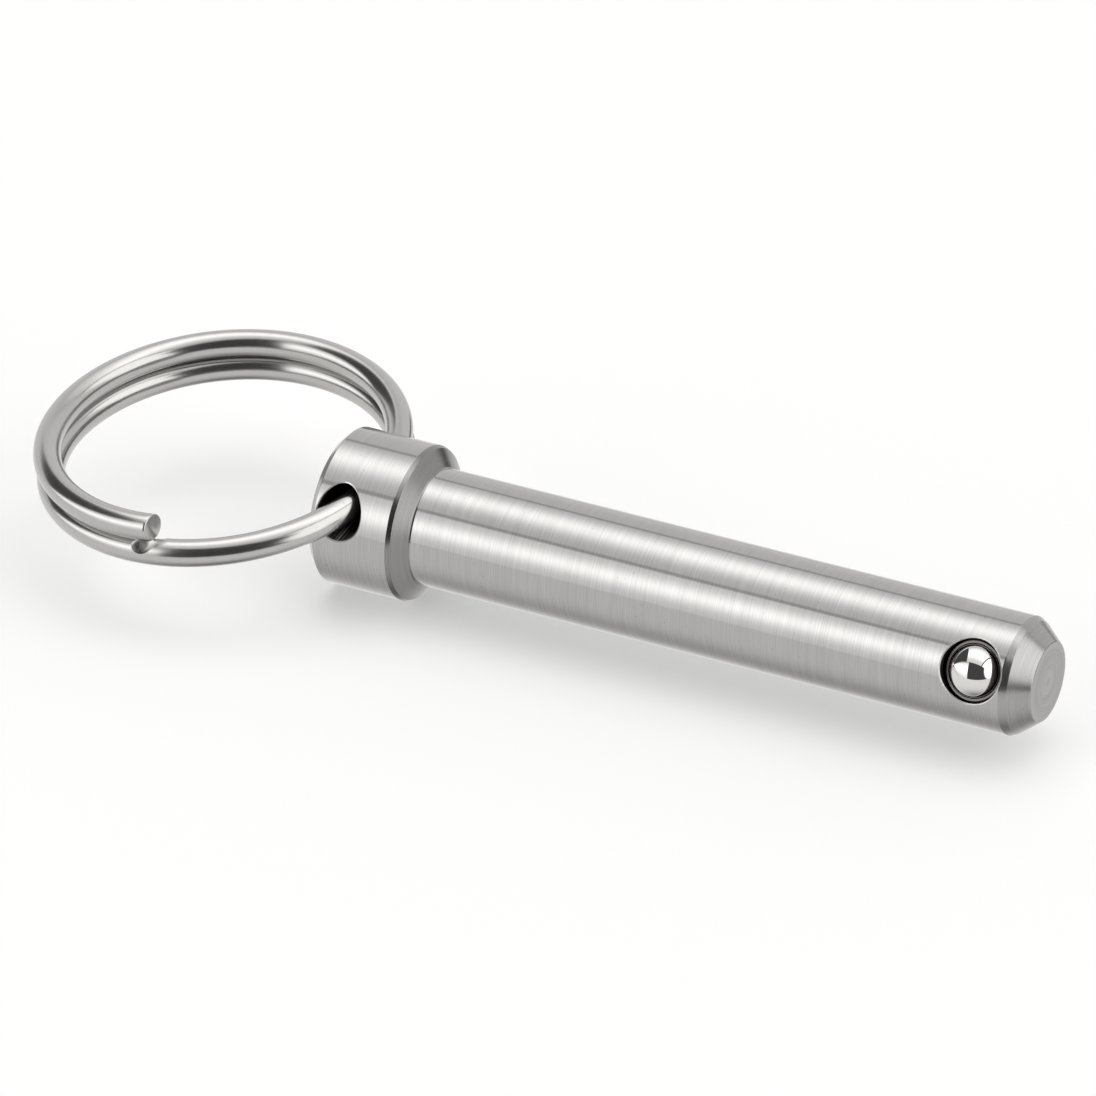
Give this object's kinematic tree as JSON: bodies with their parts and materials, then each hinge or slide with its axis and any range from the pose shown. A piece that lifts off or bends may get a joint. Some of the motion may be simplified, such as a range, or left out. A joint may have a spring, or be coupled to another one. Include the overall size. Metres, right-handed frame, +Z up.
{
  "type": "ball lock pin",
  "caption": "Turned steel locking pin with a chamfered head, a spring-loaded locking ball near its tip and a split pull ring through the head.",
  "frame": {"origin": "on the pin's axis, where the shank meets the shoulder of the head", "axes": "+X along the pin towards its tip, +Z up as the pin lies, -Y the side that the locking ball faces"},
  "size_m": [0.11, 0.0384, 0.016],
  "materials": {
    "brushed_pin": "turned and brushed round the circumference",
    "polished_ball": "mirror polished",
    "spring_wire": "drawn wire",
    "polished_ring": "polished wire"
  },
  "bodies": {
    "pin": {"pin_body": "brushed_pin", "ball_spring": "spring_wire"},
    "locking_ball": {"ball": "polished_ball"},
    "ring": {"split_ring": "polished_ring"}
  },
  "joints": [
    {"name": "ring_swing", "type": "hinge", "parent": "pin", "child": "ring", "pos_m": [-0.00715, -0.00061, 0.00405], "axis": [0, 0.989, 0.1478], "range_deg": [-152, 173]},
    {"name": "ball_press", "type": "slide", "parent": "pin", "child": "locking_ball", "axis": [0, 0.9135, -0.4067], "range_m": [0, 0.0011], "stiffness_N_per_m": 2500, "springref_m": -0.0012, "deforming": ["ball_spring"]}
  ]
}
